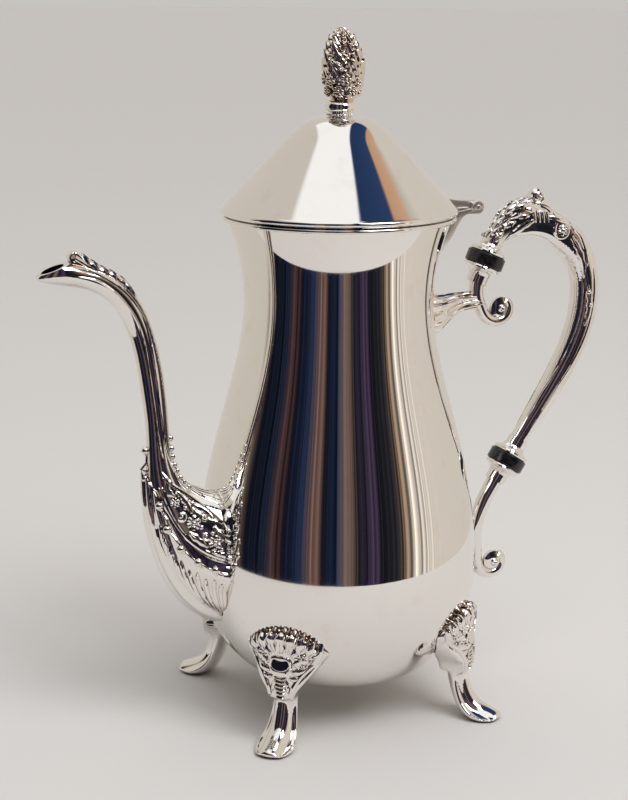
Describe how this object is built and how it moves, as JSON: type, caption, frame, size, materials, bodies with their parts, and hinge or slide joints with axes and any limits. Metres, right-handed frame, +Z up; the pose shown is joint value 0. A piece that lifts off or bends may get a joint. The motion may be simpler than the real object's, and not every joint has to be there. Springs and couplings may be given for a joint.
{
  "type": "coffee pot",
  "caption": "Footed baluster coffee pot in polished silver plate, with hinged conical lid, leaf-bud finial, swan-neck spout and scroll handle set on black insulator discs.",
  "frame": {"origin": "on the body's own axis, at the height of the table", "axes": "+Z up, +X towards the handle, -X towards the spout"},
  "size_m": [0.2376, 0.112, 0.2701],
  "materials": {
    "silver_plate": "mirror-polished silver plate, slightly warm, with faint tarnish in the hollows",
    "black_insulator": "smooth black composition, low sheen"
  },
  "bodies": {
    "pot": {"body": "silver_plate", "mouth_rim": "silver_plate", "spout": "silver_plate", "hinge_body_bracket": "silver_plate", "hinge_pin": "silver_plate", "handle_upper_socket": "silver_plate", "upper_insulator_pins": "silver_plate", "handle": "silver_plate", "lower_insulator_pins": "silver_plate", "handle_lower_socket": "silver_plate", "foot_back_right": "silver_plate", "foot_back_left": "silver_plate", "foot_front_left": "silver_plate", "foot_front_right": "silver_plate", "upper_insulator": "black_insulator", "lower_insulator": "black_insulator"},
    "lid": {"lid_shell": "silver_plate", "lid_rim": "silver_plate", "lid_bezel": "silver_plate", "finial_collar": "silver_plate", "finial": "silver_plate", "finial_washer": "silver_plate", "finial_nut": "silver_plate", "hinge_lid_leaf": "silver_plate"}
  },
  "joints": [
    {"name": "lid_hinge", "type": "hinge", "parent": "pot", "child": "lid", "pos_m": [0.058, 0, 0.1995], "axis": [0, 1, 0], "range_deg": [0, 105]}
  ]
}
